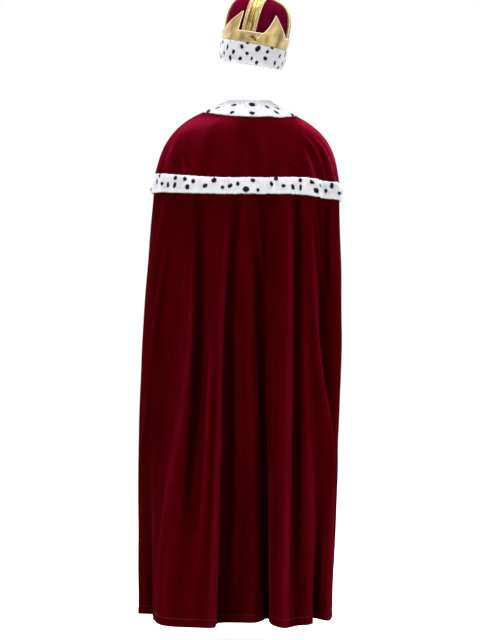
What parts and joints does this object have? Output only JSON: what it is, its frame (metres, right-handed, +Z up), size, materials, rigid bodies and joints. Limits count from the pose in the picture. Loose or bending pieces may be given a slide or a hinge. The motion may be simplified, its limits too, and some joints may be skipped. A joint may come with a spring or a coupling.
{
  "type": "robe, shoulder cape and crown costume",
  "caption": "Long velvet dress-up robe with an ermine collar and an ermine-edged shoulder cape, hollow as worn, with a soft cloth crown.",
  "frame": {"origin": "middle of the neck opening, at the neck seam, where the robe rests on the wearer's shoulders", "axes": "+Z up, +Y the way the wearer faces, +X the wearer's right"},
  "size_m": [0.5726, 0.3752, 1.7501],
  "materials": {
    "velvet": "short-pile polyester velvet, burgundy, soft sheen on the folds",
    "ermine": "short white plush with scattered black spots",
    "gold_cloth": "stiffened metallic gold cloth, satin",
    "gold_braid": "beaded gold braid",
    "clasp_metal": "polished gold-coloured metal"
  },
  "bodies": {
    "root": {"robe_back": "velvet", "robe_left_front": "velvet", "robe_right_front": "velvet", "cape": "velvet", "cape_band": "ermine", "collar": "ermine", "clasp": "clasp_metal", "crown_brim": "ermine", "crown_points": "gold_cloth", "crown_cap": "velvet", "crown_arch_back": "gold_cloth", "crown_arch_right": "gold_cloth", "crown_arch_front": "gold_cloth", "crown_arch_left": "gold_cloth", "crown_braid_back_left": "gold_braid", "crown_braid_back_right": "gold_braid", "crown_braid_right_left": "gold_braid", "crown_braid_right_right": "gold_braid", "crown_braid_front_left": "gold_braid", "crown_braid_front_right": "gold_braid", "crown_braid_left_left": "gold_braid", "crown_braid_left_right": "gold_braid", "crown_finial": "gold_cloth"}
  },
  "joints": []
}
